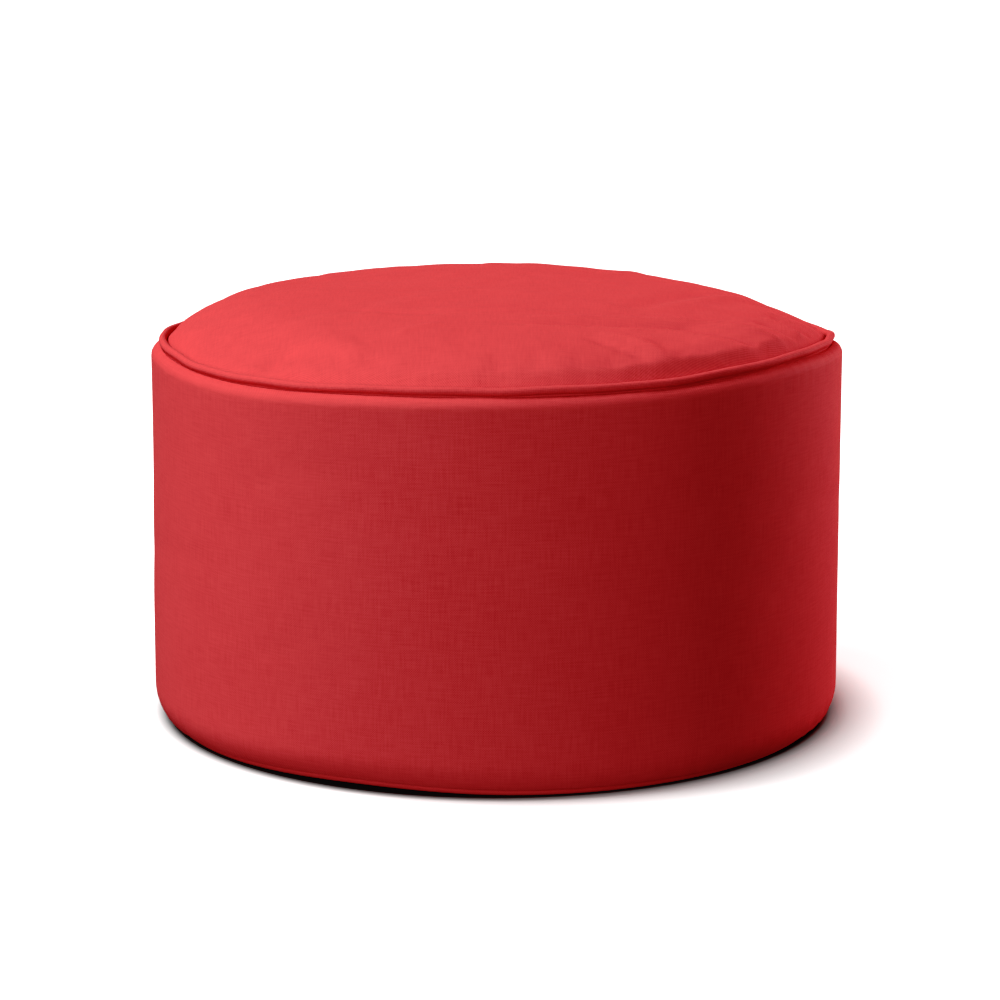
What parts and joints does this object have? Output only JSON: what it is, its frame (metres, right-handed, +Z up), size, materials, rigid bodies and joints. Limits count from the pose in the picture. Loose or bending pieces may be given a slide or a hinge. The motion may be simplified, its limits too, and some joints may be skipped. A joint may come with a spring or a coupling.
{
  "type": "floor pouf",
  "caption": "Low round bean-filled floor pouf in plain woven canvas, with a domed top, a piped top seam and a zipped flat base to rest on.",
  "frame": {"origin": "centre of the base, on the floor", "axes": "+Z up through the middle of the domed top; X along the zip in the base, with the closed end at +X; the side band's vertical seam is at +Y, the back"},
  "size_m": [0.45, 0.45, 0.278],
  "materials": {
    "canvas": "plain-weave polyester canvas, matt with a slight sheen",
    "canvas_bias": "the same canvas cut on the bias round the piping cord",
    "base_canvas": "the same canvas on the base, a little darker from the floor",
    "cord": "white twisted welt cord",
    "thread": "red spun polyester sewing thread",
    "zip_tape": "red woven zip tape",
    "zip_coil": "red nylon monofilament coil",
    "zip_metal": "red enamelled zinc slider and pull, rubbed at the edges",
    "zip_stop": "crimped aluminium stops",
    "liner": "white spunbond nonwoven",
    "liner_thread": "white sewing thread",
    "beads": "expanded polystyrene beads"
  },
  "bodies": {
    "cover": {"top_panel": "canvas", "side_panel": "canvas", "top_piping_cover": "canvas_bias", "top_piping_cord": "cord", "top_seam_thread": "thread", "side_seam_thread": "thread", "base_seam_thread": "thread", "base_panel_front": "base_canvas", "base_panel_rear": "base_canvas", "zip_tape_front": "zip_tape", "zip_tape_rear": "zip_tape", "zip_coil_front": "zip_coil", "zip_coil_rear": "zip_coil", "zip_top_stops": "zip_stop", "zip_bottom_stop": "zip_stop", "zip_end_tabs": "base_canvas", "zip_topstitching": "thread", "liner_base": "liner", "liner_side": "liner", "liner_top": "liner", "liner_seam_thread": "liner_thread", "bead_fill": "beads"},
    "zip_slider": {"zip_slider": "zip_metal"},
    "zip_pull": {"zip_pull": "zip_metal"}
  },
  "joints": [
    {"name": "zip_slide", "type": "slide", "parent": "cover", "child": "zip_slider", "axis": [-1, 0, 0], "range_m": [0, 0.27], "deforming": ["zip_coil_front", "zip_coil_rear"]},
    {"name": "pull_swing", "type": "hinge", "parent": "zip_slider", "child": "zip_pull", "pos_m": [0.137, 0, 0.0019], "axis": [0, -1, 0], "range_deg": [0, 180]}
  ]
}
